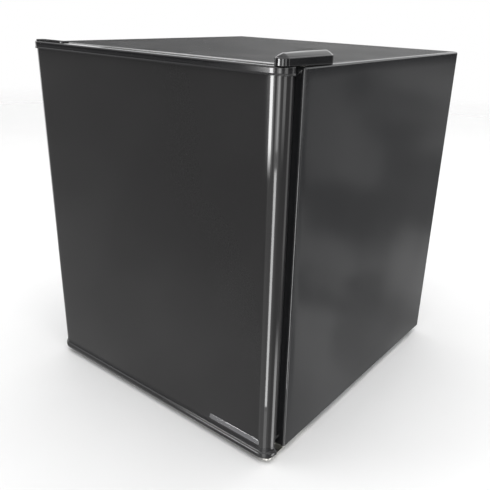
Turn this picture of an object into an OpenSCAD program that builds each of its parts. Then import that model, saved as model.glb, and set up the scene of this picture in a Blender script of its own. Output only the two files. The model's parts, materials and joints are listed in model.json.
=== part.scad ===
// Free-standing single-door mini fridge, counter-top size, about 46 litres.
// Origin: middle of the footprint at floor level. Door faces -Y, hinges on +X, +Z is up. Millimetres.

/* [Cabinet] */
// Outside width of the cabinet and of the door caps
cab_w = 446; // [436:2:456]
// Depth of the cabinet alone, front flange to back panel
cab_d = 430; // [420:2:450]
// Height of the cabinet side panels
cab_h = 492; // [488:2:512]
// Thickness of the folded steel skin
skin_t = 0.8; // [0.6:0.1:1.0]
// Outside radius of the folded cabinet edges
bend_r = 3; // [2.5:0.5:4]
// Width of the folded flange around the front opening
flange_w = 24; // [22:1:26]

/* [Cold space] */
// Side wall thickness from steel skin to liner
side_wall = 48; // [46:1:50]
// Ceiling thickness from steel skin to liner
top_wall = 38; // [36:1:40]
// Floor thickness from base pan to liner
floor_wall = 40; // [38:1:42]
// Back wall thickness from back panel to liner
back_wall = 45; // [43:1:48]
// Thickness of the formed plastic liner
liner_t = 1.5; // [1.2:0.1:2]
// Inside corner radius of the liner
liner_r = 4; // [3:1:8]

/* [Machine space] */
// Height of the compressor space above the cabinet's underside
niche_h = 153; // [151:1:158]
// Depth of the compressor space from the back panel
niche_d = 130; // [129:1:136]
// Radius of the compressor can
comp_r = 56; // [52:1:57]
// Number of passes of the condenser tube (odd)
cond_n = 11; // [9:2:11]
// Pitch of the condenser passes
cond_pitch = 27; // [25:0.5:27]
// Number of upright wires on each face of the condenser
wire_n = 24; // [12:2:30]

/* [Door] */
// Thickness of the whole door, front of the caps to the cabinet flange
door_t = 36; // [35:0.5:38]
// Depth of the rigid rim of the door, without the seal
rim_d = 20; // [20:0.5:21]
// Radius of the rounded upright door edges, at the caps
corner_r = 19.5; // [17:0.5:19.5]
// How far the end caps stand proud of the steel door skin
cap_proud = 2.5; // [2:0.5:3]
// Height of the top end cap
top_cap_h = 9.7; // [9.5:0.1:11]
// Height of the bottom end cap
bottom_cap_h = 14.6; // [14:0.2:16]
// How far the door drops below the cabinet's underside
door_drop = 3; // [2.5:0.1:3]

/* [Hinge] */
// Hinge axis, distance in from the right side of the cabinet
pivot_in = 11; // [10.5:0.5:12]
// Hinge axis, distance in front of the cabinet flange
pivot_front = 23; // [23:0.5:24]
// Radius of the hinge pins
pin_r = 3; // [2.5:0.1:3]
// Radial running clearance of pins in their bushes
run_gap = 0.05; // [0.03:0.01:0.08]

/* [Feet] */
// Height of the cabinet's underside above the floor
foot_h = 12; // [12:0.5:14]
// Radius of the feet
foot_r = 13; // [11:0.5:14]

/* [Ice box] */
// Outside width of the bent aluminium evaporator
ev_w = 300; // [280:2:300]
// Outside height of the evaporator
ev_h = 86; // [80:1:90]
// Thickness of the evaporator sheet
ev_t = 1.5; // [1.2:0.1:1.8]
// Cross-shelf wires
shelf_wires = 17; // [9:2:21]

/* [Hidden] */
$fn = 48;

rear_d = 14;                                  // condenser and its spacers behind the back panel
yf = -(door_t + cab_d + rear_d) / 2;          // front of the door caps
yc = yf + door_t;                             // cabinet front flange
yb = yc + cab_d;                              // back panel
yr = yb + rear_d;                             // rear spacers
z0 = foot_h;                                  // cabinet underside
z1 = foot_h + cab_h;                          // cabinet top
hw = cab_w / 2;
cx = hw - side_wall;                          // half width of the cold space
cz0 = z0 + floor_wall;
cz1 = z1 - top_wall;
cyb = yb - back_wall;
nz = z0 + niche_h;                            // ceiling of the compressor space
ny = yb - niche_d;                            // front wall of the compressor space
hz = nz + 35;                                 // top of the step inside the cold space
hy = ny - 38;                                 // front of the step inside the cold space
px = hw - pivot_in;                           // hinge axis
py = yc - pivot_front;
dr = yf + rim_d;                              // rear face of the door rim
dz0 = z0 - door_drop;                         // underside of the bottom cap
dz1 = z1 + 1.7;                               // top of the top cap
pz0 = dz0 + bottom_cap_h;                     // visible door skin, lower and upper edge
pz1 = dz1 - top_cap_h;
gx = px - 0.5;                                // outer half width of the seal
gz0 = z0 + 8;
gz1 = z1 - 8;
gy = yc - 0.3;                                // sealing face
ex = ev_w / 2;
ez1 = cz1 - 8;                                // evaporator top
ez0 = ez1 - ev_h;
ey0 = -78;                                    // evaporator front edge
ey1 = cyb - 16;
fy = ey0 - 6;                                 // axis of the ice box flap
fz = ez1 - 5;
tz = ez0 - 12;                                // rim of the drip tray
shz = hz + 8;                                 // top of the shelf ledges
fx = hw - 35;                                 // front feet
ffy = yc + 32;
kx = cx - 20;                                 // face of the thermostat housing
ky = -36;
kz = 306;
qx = 40;                                      // compressor axis
qy = ny + 62;
cyl = yb + 9.2;                               // plane of the condenser tube
cq = 160;                                     // half length of a straight condenser pass
cbz = nz + 25;                                // lowest condenser pass
cap_top = dz1 - 6.2;                          // underside of the solid top of the cap

black = "#2b2b2d"; skin = "#3d3c3e"; white = "#eceef0"; steel = "#9aa0a5"; copper = "#b5713d";

module box(a, b) translate(a) cube([b[0] - a[0], b[1] - a[1], b[2] - a[2]]);
module bar(p, d, r, l) translate(p) rotate(d == "x" ? [0, 90, 0] : d == "y" ? [-90, 0, 0] : [0, 0, 0]) cylinder(r = r, h = l);
// Rounded rectangle from corner a to corner b
module rrect(a, b, r) {
  translate([a[0] + r, a[1]]) square([b[0] - a[0] - 2 * r, b[1] - a[1]]);
  translate([a[0], a[1] + r]) square([b[0] - a[0], b[1] - a[1] - 2 * r]);
  for (x = [a[0] + r, b[0] - r], y = [a[1] + r, b[1] - r]) translate([x, y]) circle(r);
}
// Prism along Y of an XZ outline
module along_y(y0, y1) translate([0, y1, 0]) rotate([90, 0, 0]) linear_extrude(y1 - y0) children();
// Prism along X of a YZ outline
module along_x(x0, x1) translate([x0, 0, 0]) rotate([90, 0, 90]) linear_extrude(x1 - x0) children();
module prism_z(a, b, r, za, zb) translate([0, 0, za]) linear_extrude(zb - za) rrect(a, b, r);
// Hexagonal head or nut, axis Z
module hex(r, h) cylinder(r = r, h = h, $fn = 6);

// Smooth path through hand-placed points, and a tube swept along it
function unit(v) = v / norm(v);
function cr(a, b, c, d, t) = 0.5 * (2 * b + (c - a) * t + (2 * a - 5 * b + 4 * c - d) * t * t + (3 * b - a - 3 * c + d) * t * t * t);
function smooth(p, n) = concat([for (i = [0:len(p) - 2], k = [0:n - 1]) cr(p[max(i - 1, 0)], p[i], p[i + 1], p[min(i + 2, len(p) - 1)], k / n)], [p[len(p) - 1]]);
module sweep(p, r, n = 10) {
  m = len(p);
  ref = unit([0.31, 0.52, 0.8]);
  pts = [for (i = [0:m - 1]) let (t = unit(p[min(i + 1, m - 1)] - p[max(i - 1, 0)]), u = unit(cross(t, ref)), v = cross(t, u))
    for (k = [0:n - 1]) p[i] + r * (u * cos(360 * k / n) + v * sin(360 * k / n))];
  polyhedron(pts, concat([[for (k = [0:n - 1]) k]], [[for (k = [0:n - 1]) (m - 1) * n + n - 1 - k]],
    [for (i = [0:m - 2], k = [0:n - 1], h = [0, 1]) let (a = i * n + k, b = i * n + (k + 1) % n) h == 0 ? [a, a + n, b + n] : [a, b + n, b]]));
}

// ---- Cabinet ----------------------------------------------------------------
// Block with folded edges, i inside the outer face, open at the back when it is used as a cutter
module cab_block(i, back) {
  r = bend_r - i * 0.9;
  intersection() {
    along_y(yc + i, back) rrect([-hw + i, z0 - 30], [hw - i, z1 - i], r);
    translate([0, 0, z0]) linear_extrude(cab_h) rrect([-hw + i, yc + i], [hw - i, back + 30], r);
    along_x(-hw, hw) rrect([yc + i, z0 - 30], [back + 30, z1 - i], r);
  }
}
module cabinet_shell() color(skin) difference() {
  union() {
    difference() {
      cab_block(0, yb);
      cab_block(skin_t, yb + 1);
    }
    for (s = [-1, 1]) box([s > 0 ? hw - 13 : -hw + 0.5, yc + 0.5, z0], [s > 0 ? hw - 0.5 : -hw + 13, yb - 0.5, z0 + skin_t]);
  }
  box([-hw + flange_w, yc - 1, z0 - 1], [hw - flange_w, yc + 5, z1 - flange_w]);
  for (y = [yc + 18, yc + 42]) translate([hw - 16, y, z1 - 2]) cylinder(r = 2.1, h = 4);
}
module base_pan() color(steel) difference() {
  union() {
    box([-hw + skin_t + 0.1, yc + skin_t, z0 + skin_t + 0.1], [hw - skin_t - 0.1, ny - 0.1, z0 + 2]);
    box([-hw + flange_w + 0.1, yc, z0], [hw - flange_w - 0.1, yc + skin_t, z0 + 28]);
    box([-hw + flange_w + 0.1, yc, z0], [hw - flange_w - 0.1, yc + 12, z0 + 2]);
  }
  for (s = [-1, 1]) translate([s * fx, ffy, z0 - 1]) cylinder(r = 4.3, h = 5);
  for (y = [yc + 10, yc + 50]) translate([hw - 24, y, z0 - 1]) cylinder(r = 1.9, h = 5);
}
module back_panel() color(steel) difference() {
  box([-hw + skin_t + 0.1, yb - skin_t, nz + 0.1], [hw - skin_t - 0.1, yb, z1 - skin_t - 0.1]);
  for (p = screw_spots) translate([p[0], yb - 3, p[1]]) rotate([-90, 0, 0]) cylinder(r = 1.6, h = 6);
}
module niche_panel() color(steel) difference() {
  union() {
    box([-hw + skin_t + 0.1, ny, z0 + skin_t + 0.1], [hw - skin_t - 0.1, ny + skin_t, nz]);
    box([-hw + skin_t + 0.1, ny, nz - skin_t], [hw - skin_t - 0.1, yb, nz]);
  }
  translate([line_x, line_y, nz - 5]) cylinder(r = 6.2, h = 10);
}
line_x = 120;                                 // duct of the suction and capillary lines through the back wall
line_y = yb - 22;
line_z = ez1 + 3.8;
module cold_space(i) difference() {
  along_y(yc - 5, cyb + i) rrect([-cx - i, cz0 - i], [cx + i, cz1 + i], liner_r + i);
  box([-hw, hy + i, 0], [hw, yb, hz - i]);
}
module insulation_foam() color("#e8d9a8") difference() {
  cab_block(skin_t + 0.05, yb - skin_t - 0.05);
  box([-hw, yc - 1, z0 - 1], [hw, yb, z0 + 2.05]);
  box([-hw, ny - 0.05, z0 - 1], [hw, yb, nz + 0.05]);
  box([-hw + flange_w + 0.05, yc - 1, z0 - 1], [hw - flange_w - 0.05, yc + liner_t + 0.05, z1 - flange_w - 0.05]);
  cold_space(liner_t + 0.05);
  translate([line_x, line_y, nz - 1]) cylinder(r = 6.2, h = line_z - nz + 8);
  bar([line_x, cyb, line_z], "y", 6.2, line_y - cyb);
  for (s = [-1, 1]) translate([s * fx, ffy, z0]) cylinder(r = 9, h = 22);
  for (y = [yc + 10, yc + 50]) translate([hw - 24, y, z0]) cylinder(r = 2.4, h = 14);
  for (y = [yc + 18, yc + 42]) translate([hw - 16, y, z1 - 16]) cylinder(r = 2.4, h = 20);
  for (p = screw_spots) translate([p[0], yb - 16, p[1]]) rotate([-90, 0, 0]) cylinder(r = 2, h = 20);
}
module inner_liner() color(white) difference() {
  union() {
    difference() {
      union() {
        cold_space_cut(liner_t);
        along_y(yc, yc + liner_t) rrect([-hw + flange_w + 0.1, z0 + 28.1], [hw - flange_w - 0.1, z1 - flange_w - 0.1], 3);
      }
      cold_space(0);
    }
    for (s = [-1, 1]) box([s > 0 ? cx - 6 : -cx - 0.5, -116, shz - 4], [s > 0 ? cx + 0.5 : -cx + 6, hy + 0.5, shz]);
  }
  bar([line_x, cyb - 1, line_z], "y", 6.2, 5);
}
module cold_space_cut(i) intersection() {
  cold_space(i);
  box([-hw, yc, 0], [hw, yb, z1]);
}
module compressor_plate() color(steel) difference() {
  union() {
    box([-hw + skin_t + 0.1, ny + 4, z0 + skin_t + 0.1], [hw - skin_t - 0.1, yb - 4, z0 + 2.5]);
    box([-hw + skin_t + 0.1, yb - 5.6, z0 + skin_t + 0.1], [hw - skin_t - 0.1, yb - 4, z0 + 14]);
  }
  for (x = [-1, 1], y = [-1, 1]) translate([qx + x * 62, qy + y * 44, z0 - 1]) cylinder(r = 3.2, h = 6);
  for (s = [-1, 1]) translate([s * (hw - 27), yb - 24, z0 - 1]) cylinder(r = 2.1, h = 6);
}
// ---- Feet ----
module front_foot() {
  difference() {
    union() {
      cylinder(r = foot_r, h = foot_h - 4);
      cylinder(r = 4, h = foot_h + 16);
    }
    for (a = [0:30:359]) rotate(a) translate([foot_r + 0.6, 0, -1]) cylinder(r = 1.6, h = foot_h);
    translate([0, 0, -1]) cylinder(r = 7, h = 2.2);
  }
}
module front_foot_left() color(black) translate([-fx, ffy, 0]) front_foot();
module front_foot_right() color(black) translate([fx, ffy, 0]) front_foot();
module foot_nuts() color(steel) for (s = [-1, 1]) translate([s * fx, ffy, z0 + 2.05]) difference() {
  hex(7.4, 6.5);
  translate([0, 0, -1]) cylinder(r = 4.05, h = 9);
}
module rear_feet() color(black) for (s = [-1, 1]) translate([s * (hw - 27), yb - 24, 0]) {
  cylinder(r = foot_r - 1.5, h = 3);
  cylinder(r = foot_r - 3, h = foot_h + skin_t + 0.05);
  cylinder(r = 2.05, h = foot_h + 6);
}
// ---- Hinges ----
hb = z1 + 2.5;                                // top of the bracket foot on the cabinet
module top_hinge_bracket() color(steel) difference() {
  union() {
    prism_z([hw - 26, yc + 8], [hw - 6, yc + 50], 4, z1, hb);
    box([hw - 18, py + 4, z1 + 2.4], [hw - 4.5, yc + 12, z1 + 4.9]);
    translate([px, py, z1 + 2.4]) cylinder(r = 6.6, h = 2.5);
    box([hw - 18, yc + 3, z1], [hw - 6.2, yc + 12, z1 + 4.9]);
  }
  translate([px, py, z1]) cylinder(r = pin_r, h = 9);
  for (y = [yc + 18, yc + 42]) translate([hw - 16, y, z1 - 1]) cylinder(r = 2.2, h = 9);
}
module hinge_pins() color(steel) {
  translate([px, py, z1 - 12]) cylinder(r = pin_r, h = 17.9);
  translate([px, py, z0 - 6.6]) cylinder(r = pin_r, h = 16.4);
}
module screw(r, l, hr, hh) {                  // pan head at z = 0 upward, thread down
  translate([0, 0, -l]) cylinder(r = r, h = l + 0.5);
  difference() {
    cylinder(r = hr, h = hh);
    for (a = [0, 90]) rotate(a) translate([-hr * 0.6, -0.5, hh * 0.45]) cube([hr * 1.2, 1, hh]);
  }
}
module hinge_screws() color(steel) {
  for (y = [yc + 18, yc + 42]) translate([hw - 16, y, hb]) screw(2, 15, 4.2, 2.6);
  for (y = [yc + 10, yc + 50]) translate([hw - 24, y, z0 - 2.5]) mirror([0, 0, 1]) screw(1.8, 14, 3.8, 2.2);
}
// Outline of the hinge cover: narrow nose over the door, broad tail on the cabinet
module cover_outline(i, h, t) hull() {
  translate([hw - 9.2, yf + 9.2, 0]) cylinder(r1 = 9.1 - i, r2 = 9.1 - i - t, h = h, $fn = 32);
  translate([hw - 10.1, yc + 40, 0]) cylinder(r1 = 10 - i, r2 = 10 - i - t, h = h, $fn = 32);
  translate([hw - 17, yc + 50, 0]) cylinder(r1 = 17 - i, r2 = 17 - i - t, h = h, $fn = 32);
  translate([hw - 36, yc + 54, 0]) cylinder(r1 = 13 - i, r2 = 13 - i - t, h = h, $fn = 32);
}
module hinge_cover() color(black) difference() {
  union() {
    translate([0, 0, z1 + 2]) cover_outline(0, 6.9, 0.4);
    translate([0, 0, z1 + 8.9]) cover_outline(0.4, 2.5, 1.8);
    intersection() {
      translate([0, 0, z1 + 0.05]) cover_outline(0, 2, 0);
      box([0, yc + 1, z1], [hw, yb, z1 + 3]);
    }
  }
  translate([0, 0, z1 - 1]) cover_outline(1.8, 10.4, 0);
}
module lower_hinge_bracket() color(steel) difference() {
  union() {
    prism_z([hw - 48, yc + 4], [hw - 2, yc + 62], 4, z0 - 2.5, z0 - 0.05);
    box([hw - 20, yc + 2, z0 - 6.6], [hw - 3, yc + 6, z0 - 0.05]);
    box([hw - 20, py, z0 - 6.6], [hw - 3, yc + 6, z0 - 4]);
    translate([px, py, z0 - 6.6]) cylinder(r = 8, h = 2.6);
  }
  translate([px, py, 0]) cylinder(r = pin_r, h = 30);
  translate([fx, ffy, z0 - 5]) cylinder(r = 4.3, h = 8);
  for (y = [yc + 10, yc + 50]) translate([hw - 24, y, z0 - 8]) cylinder(r = 2.1, h = 12);
}
module hinge_washer() color(white) translate([px, py, z0 - 4]) difference() {
  cylinder(r = 6, h = 0.7);
  translate([0, 0, -1]) cylinder(r = pin_r + 0.05, h = 3);
}
// ---- Ice box ----
module evaporator() color("#c9ced2") difference() {
  union() {
    difference() {
      along_y(ey0, ey1) rrect([-ex, ez0], [ex, ez1], 6);
      along_y(ey0 - 1, ey1 - ev_t) rrect([-ex + ev_t, ez0 + ev_t], [ex - ev_t, ez1 - ev_t], 5);
    }
    for (k = [0:5]) bar([-ex + 24, ey0 + 24 + k * 38, ez1 - 0.4], "x", 2, 2 * ex - 48);
    for (k = [0:5]) bar([-ex + 24, ey0 + 24 + k * 38, ez0 + 0.4], "x", 2, 2 * ex - 48);
  }
}
module ice_box_frame() color(white) difference() {
  along_y(ey0 - 15, ey0 + 3) rrect([-ex - 9, ez0 - 8], [ex + 9, ez1 + 6], 6);
  along_y(ey0 - 16, ey0 + 4) rrect([-ex + 2, ez0 + 1], [ex - 2, ez1 + 0.6], 2);
  along_y(ey0 - 0.2, ey0 + 4) rrect([-ex - 0.2, ez0 - 2.2], [ex + 0.2, ez1 + 2.2], 6);
  for (s = [-1, 1]) bar([s > 0 ? ex - 3 : -ex - 5, fy, fz], "x", 2, 8);
}
module ice_box_flap() color("#dfe8ec") difference() {
  union() {
    bar([-ex + 2.6, fy, fz], "x", 4.2, 2 * ex - 5.2);
    box([-ex + 2.6, fy - 2, ez0 + 2], [ex - 2.6, fy + 1.5, fz]);
    box([-40, fy - 6.5, ez0 + 2], [40, fy - 1.9, ez0 + 5]);
  }
  for (s = [-1, 1]) bar([s > 0 ? ex - 12 : -ex - 0.4, fy, fz], "x", 2 + run_gap, 12.4);
}
module flap_pins() color(steel) for (s = [-1, 1]) bar([s > 0 ? ex - 10 : -ex - 5, fy, fz], "x", 2, 15);
module evaporator_hangers() color(white) for (x = [-1, 1], y = [ey0 + 43, ey1 - 43]) translate([x * (ex - 14), y, ez1 + 0.05]) difference() {
  union() {
    cylinder(r = 7, h = 1.5);
    cylinder(r = 4.5, h = cz1 - ez1 - 0.1);
  }
  translate([0, 0, -1]) cylinder(r = 1.6, h = 12);
}
module tray_rails() color(white) for (s = [-1, 1]) {
  box([s > 0 ? ex + 2.4 : -ex - 4.4, ey0 + 5, tz - 2.4], [s > 0 ? ex + 4.4 : -ex - 2.4, ey1 - 4, ez0 + 16]);
  box([s > 0 ? ex - 5 : -ex - 4.4, ey0 + 5, tz - 4.4], [s > 0 ? ex + 4.4 : -ex + 5, ey1 - 4, tz - 2.4]);
  for (y = [ey0 + 30, ey1 - 40]) box([s > 0 ? ex + 0.05 : -ex - 2.5, y, ez0 + 8], [s > 0 ? ex + 2.5 : -ex - 0.05, y + 10, ez0 + 14]);
}
module drip_tray() color("#e4eef2") difference() {
  union() {
    prism_z([-ex + 6, ey0 - 14], [ex - 6, ey1 - 6], 8, tz - 16, tz);
    box([-ex - 1.6, ey0 + 5, tz - 2], [ex + 1.6, ey1 - 8, tz]);
    prism_z([-48, ey0 - 20], [48, ey0 - 8], 4, tz - 3, tz);
  }
  prism_z([-ex + 8, ey0 - 12], [ex - 8, ey1 - 8], 6, tz - 14, tz + 1);
}
// ---- Shelf ----
sy0 = -114;
sy1 = cyb - 4;
module wire_shelf() color("#e6e9ea") {
  w = cx - 4;
  zz = shz + 2.6;
  along_z_ring([-w, sy0], [w, sy1], 14, zz, 2.5);
  for (k = [1:shelf_wires]) bar([-w + 2 * w * k / (shelf_wires + 1), sy0, zz + 2.2], "y", 1.3, sy1 - sy0);
  for (y = [sy0 + 70, sy1 - 70]) bar([-w, y, zz - 0.4], "x", 1.9, 2 * w);
}
// Closed wire loop with rounded corners
module along_z_ring(a, b, r, z, wr) {
  bar([a[0] + r, a[1], z], "x", wr, b[0] - a[0] - 2 * r);
  bar([a[0] + r, b[1], z], "x", wr, b[0] - a[0] - 2 * r);
  bar([a[0], a[1] + r, z], "y", wr, b[1] - a[1] - 2 * r);
  bar([b[0], a[1] + r, z], "y", wr, b[1] - a[1] - 2 * r);
  for (q = [[a[0] + r, a[1] + r, 180], [b[0] - r, a[1] + r, 270], [b[0] - r, b[1] - r, 0], [a[0] + r, b[1] - r, 90]])
    translate([q[0], q[1], z]) rotate(q[2]) rotate_extrude(angle = 90) translate([r, 0]) circle(wr);
}
// ---- Thermostat ----
module thermostat_housing() color(white) difference() {
  union() {
    along_x(kx, cx - 0.05) rrect([ky - 34, kz - 24], [ky + 34, kz + 24], 7);
    bar([kx - 1.2, ky, kz], "x", 19, 2);
  }
  along_x(kx + 2, cx + 1) rrect([ky - 32, kz - 22], [ky + 32, kz + 22], 5);
  bar([kx - 3, ky, kz], "x", 4.2, 8);
  for (k = [-2:2]) box([kx - 1, ky + 24, kz + k * 7 - 1.2], [kx + 3, ky + 30, kz + k * 7 + 1.2]);
  box([cx - 9, ky + 30, kz - 1], [cx + 1, ky + 36, kz + 15]);
}
module thermostat_body() color(steel) difference() {
  union() {
    box([kx + 4, ky - 17, kz - 13], [cx - 0.5, ky + 17, kz + 13]);
    bar([kx - 0.9, ky, kz], "x", 4.1, 6);
  }
  bar([kx - 2, ky, kz], "x", 3 + run_gap, 11);
}
// Spindle with a flat, turned by the knob
module thermostat_shaft() color(steel) difference() {
  bar([kx - 9, ky, kz], "x", 3, 17);
  box([kx - 10, ky + 1.8, kz - 5], [kx - 0.95, ky + 5, kz + 5]);
}
module thermostat_knob() color(white) difference() {
  union() {
    bar([kx - 12, ky, kz], "x", 14.5, 10.4);
    for (a = [0:30:359]) translate([kx - 11.2, ky, kz]) rotate([a, 0, 0]) translate([0, 14, 0]) rotate([0, 90, 0]) cylinder(r = 1.5, h = 8.6);
    box([kx - 13.4, ky - 1.2, kz + 3], [kx - 11, ky + 1.2, kz + 13]);
  }
  difference() {
    bar([kx - 9.05, ky, kz], "x", 3 + run_gap, 9);
    box([kx - 10, ky + 1.8 + run_gap, kz - 5], [kx - 1, ky + 5, kz + 5]);
  }
}
module thermostat_sensor() color(copper) sweep(smooth([[cx - 6, ky + 17.1, kz], [cx - 6, ky + 26, kz + 2], [cx - 5, ky + 46, kz + 18],
  [cx - 5, ky + 50, kz + 60], [cx - 6, ky + 52, ez0 + 18], [ex + 9, ky + 58, ez0 + 40], [ex + 3, ky + 80, ez0 + 46], [ex + 3, ky + 130, ez0 + 46]], 4), 1.1, 8);
// ---- Compressor ----
cb = z0 + 19;                                 // underside of the can
ct = nz - 14;                                 // top of the can
cm = cb + 62;                                 // weld seam
module can(i) {
  f = 22 - i;
  translate([qx, qy, 0]) rotate_extrude() difference() {
    union() {
      translate([0, cb + i]) square([comp_r - i - f, ct - cb - 2 * i]);
      translate([0, cb + i + f]) square([comp_r - i, ct - cb - 2 * i - 2 * f]);
      for (z = [cb + i + f, ct - i - f]) translate([comp_r - i - f, z]) circle(f);
    }
    translate([-100, 0]) square([100, 300]);
  }
}
module compressor_lower_shell() color(black) {
  difference() {
    union() {
      intersection() { can(0); box([-hw, ny, cb - 1], [hw, yb, cm]); }
      translate([qx, qy, cm - 4]) cylinder(r = comp_r + 1.6, h = 4);
    }
    can(2.5);
  }
  difference() {
    union() {
      for (y = [-1, 1]) prism_z([qx - 70, qy + y * 44 - 9], [qx + 70, qy + y * 44 + 9], 6, cb - 3, cb);
      translate([qx, qy, cb - 3]) cylinder(r = 40, h = 4);
    }
    for (x = [-1, 1], y = [-1, 1]) translate([qx + x * 62, qy + y * 44, cb - 6]) cylinder(r = 5, h = 12);
  }
}
module compressor_upper_shell() color(black) {
  difference() {
    intersection() { can(0); box([-hw, ny, cm + 0.05], [hw, yb, ct + 1]); }
    can(2.5);
  }
}
module compressor_stator() color("#8a5a2a") translate([qx, qy, 0]) difference() {
  union() {
    translate([0, 0, cb + 22]) cylinder(r = 45, h = 30);
    translate([0, 0, cb + 14]) cylinder(r = 38, h = 46);
  }
  cylinder(r = 27, h = 300);
}
module compressor_rotor() color(steel) translate([qx, qy, 0]) {
  translate([0, 0, cb + 20]) cylinder(r = 26.4, h = 34);
  translate([0, 0, cb + 12]) cylinder(r = 7, h = 68);
  translate([0, 0, cb + 80]) cylinder(r = 11, h = 4);
  translate([5, 0, cb + 84]) cylinder(r = 5, h = 10);
}
module compressor_pump_block() color(steel) translate([qx, qy, 0]) difference() {
  union() {
    translate([0, 0, cb + 62]) cylinder(r = 14, h = 8);
    translate([0, 0, cb + 69]) cylinder(r = 40, h = 6);
    box([16, -16, cb + 74], [42, 16, cb + 98]);
  }
  cylinder(r = 7 + run_gap, h = 300);
  bar([10, 0, cb + 88], "x", 9, 24);
}
module compressor_grommets() color(black) for (x = [-1, 1], y = [-1, 1]) translate([qx + x * 62, qy + y * 44, z0 + 2.55]) difference() {
  union() {
    cylinder(r = 8.5, h = cb - 3 - z0 - 2.6);
    cylinder(r = 4.9, h = cb - z0 - 2.2);
    translate([0, 0, cb - z0 - 2.5]) cylinder(r = 7.5, h = 3);
  }
  translate([0, 0, -1]) cylinder(r = 3.1, h = 40);
}
module compressor_bolts() color(steel) for (x = [-1, 1], y = [-1, 1]) translate([qx + x * 62, qy + y * 44, 0]) {
  translate([0, 0, z0 - 1.5]) cylinder(r = 3, h = cb - z0 + 7.5);
  translate([0, 0, z0 - 2.4]) hex(5.6, 3.25);
  translate([0, 0, cb + 3.1]) hex(5.6, 3);
}
module relay_cover() color(black) difference() {
  box([qx - comp_r - 20, qy - 22, cb + 26], [qx - comp_r + 12, qy + 22, cb + 76]);
  translate([qx, qy, cb]) cylinder(r = comp_r + 0.1, h = 100);
  translate([qx, qy, cm - 5]) cylinder(r = comp_r + 1.8, h = 6);
  box([qx - comp_r - 18, qy - 20, cb + 28], [qx - comp_r + 13, qy + 20, cb + 74]);
  bar([qx - comp_r - 8, qy + 19, cb + 38], "y", 5.2, 5);
}
module cord_gland() color(black) difference() {
  union() {
    bar([qx - comp_r - 8, qy + 22.05, cb + 38], "y", 7.5, 3);
    bar([qx - comp_r - 8, qy + 19, cb + 38], "y", 5.2, 18);
  }
  bar([qx - comp_r - 8, qy + 18, cb + 38], "y", 3.5, 20);
}
// ---- Refrigerant circuit ----
xe = hw - 26;                                 // riser of the discharge line
module discharge_tube() color(copper) sweep(smooth([[qx + comp_r + 0.1, qy, cm + 14], [qx + comp_r + 10, qy, cm + 14], [qx + comp_r + 34, qy + 8, cm + 18], [xe - 30, qy + 34, cm + 30],
  [xe - 12, yb - 14, nz - 34], [xe - 4, yb + 2, nz - 18], [xe, cyl, nz + 14], [xe, cyl, nz + 60], [xe, cyl, nz + 150],
  [xe, cyl, cbz + (cond_n - 1) * cond_pitch - 26], [xe - 4, cyl, cbz + (cond_n - 1) * cond_pitch - 8],
  [xe - 14, cyl, cbz + (cond_n - 1) * cond_pitch - 1], [cq + 0.1, cyl, cbz + (cond_n - 1) * cond_pitch]], 4), 2.4, 10);
module suction_tube() color(copper) sweep(smooth([[qx + 26, qy - 16, ct + 0.05], [qx + 26, qy - 16, ct + 2.5], [qx + 30, qy - 17, ct + 7], [qx + 46, qy - 18, ct + 8.5],
  [line_x - 10, line_y - 30, nz - 8.5], [line_x, line_y - 4, nz - 5], [line_x + 1, line_y, nz + 14], [line_x + 1, line_y, nz + 60],
  [line_x + 1, line_y, line_z - 40], [line_x + 1, line_y - 1, line_z - 12], [line_x + 1, line_y - 8, line_z - 1.6], [line_x + 1, line_y - 22, line_z], [line_x + 1, ey1 - 10, line_z], [line_x + 1, ey1 - 24, line_z]], 4), 2.4, 10);
module capillary_tube() color(copper) sweep(smooth([[-120, yb - 18, z0 + 36], [-119, yb - 18, z0 + 28], [-104, yb - 17, z0 + 24], [-84, yb - 16, z0 + 30], [-40, yb - 12, z0 + 70], [20, yb - 9, nz - 22], [80, yb - 12, nz - 10],
  [line_x - 12, line_y, nz - 6], [line_x - 4.2, line_y, nz + 6], [line_x - 4.2, line_y, nz + 60], [line_x - 4.2, line_y, line_z - 20], [line_x - 4.2, line_y - 3, line_z - 4], [line_x - 4.2, line_y - 14, line_z],
  [line_x - 4.2, ey1 - 10, line_z], [line_x - 4.2, ey1 - 24, line_z]], 4), 1, 8);
module liquid_line() color(copper) sweep(smooth([[-cq - 0.1, cyl, cbz], [-cq - 8, cyl, cbz - 1.5], [-cq - 14, cyl, cbz - 8], [-cq - 15, cyl, cbz - 20], [-cq - 12, yb + 6, nz - 14], [-cq + 4, yb - 4, nz - 22], [-cq + 22, yb - 12, nz - 16],
  [-126, yb - 17, nz - 18], [-120.5, yb - 18, nz - 26], [-120, yb - 18, nz - 36]], 4), 2.4, 10);
module filter_drier() color(copper) translate([-120, yb - 18, 0]) rotate_extrude() polygon([[0, z0 + 36.1], [2.6, z0 + 36.1], [2.6, z0 + 42], [9, z0 + 50], [9, nz - 54], [3.2, nz - 44], [3.2, nz - 36.1], [0, nz - 36.1]]);
module condenser_tube() color(black) {
  for (k = [0:cond_n - 1]) bar([-cq, cyl, cbz + k * cond_pitch], "x", 2.4, 2 * cq);
  for (k = [0:cond_n - 2]) translate([k % 2 == 0 ? cq : -cq, cyl, cbz + (k + 0.5) * cond_pitch]) rotate([90, 0, 0])
    rotate(k % 2 == 0 ? -90 : 90) rotate_extrude(angle = 180) translate([cond_pitch / 2, 0]) circle(2.4);
}
wz0 = cbz - 8;
wz1 = cbz + (cond_n - 1) * cond_pitch + 8;
module condenser_wires() color(black) for (s = [-1, 1]) {
  for (k = [0:wire_n - 1]) bar([-cq + 6 + (2 * cq - 12) * k / (wire_n - 1), cyl + s * 3.25, wz0], "z", 0.8, wz1 - wz0);
  for (z = [wz0 + 2, wz1 - 6]) box([-cq + 2, cyl + s * 3.25 - 0.5, z], [cq - 2, cyl + s * 3.25 + 0.5, z + 4]);
}
wire_p = (2 * cq - 12) / (wire_n - 1);        // pitch of the wires
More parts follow.
